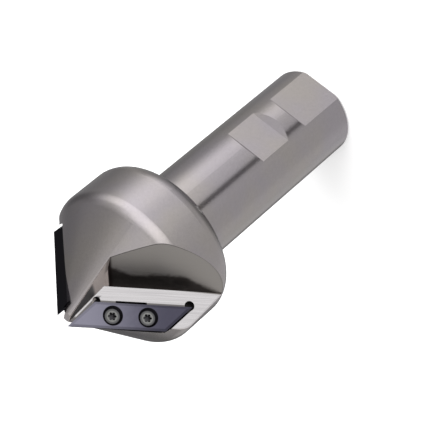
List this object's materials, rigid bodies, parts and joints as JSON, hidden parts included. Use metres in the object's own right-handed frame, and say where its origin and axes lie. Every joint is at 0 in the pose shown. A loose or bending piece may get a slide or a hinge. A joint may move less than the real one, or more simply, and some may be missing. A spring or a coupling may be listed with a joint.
{
  "type": "chamfer mill",
  "caption": "Indexable 45 degree chamfer mill with a plain shank, clamping flats and long screwed-in carbide inserts.",
  "frame": {"origin": "centre of the shank's end face", "axes": "+Z along the axis from the shank's end to the cutting tip, +X square to the clamping flats"},
  "size_m": [0.056, 0.056, 0.1286],
  "materials": {
    "cutter_steel": "satin, bright on the ground floors beside the inserts",
    "carbide": "dark violet-grey coating, satin",
    "screw_steel": "dark, fine turned"
  },
  "bodies": {
    "root": {"cutter_body": "cutter_steel", "insert_1": "carbide", "insert_2": "carbide", "insert_screws": "screw_steel"}
  },
  "joints": []
}
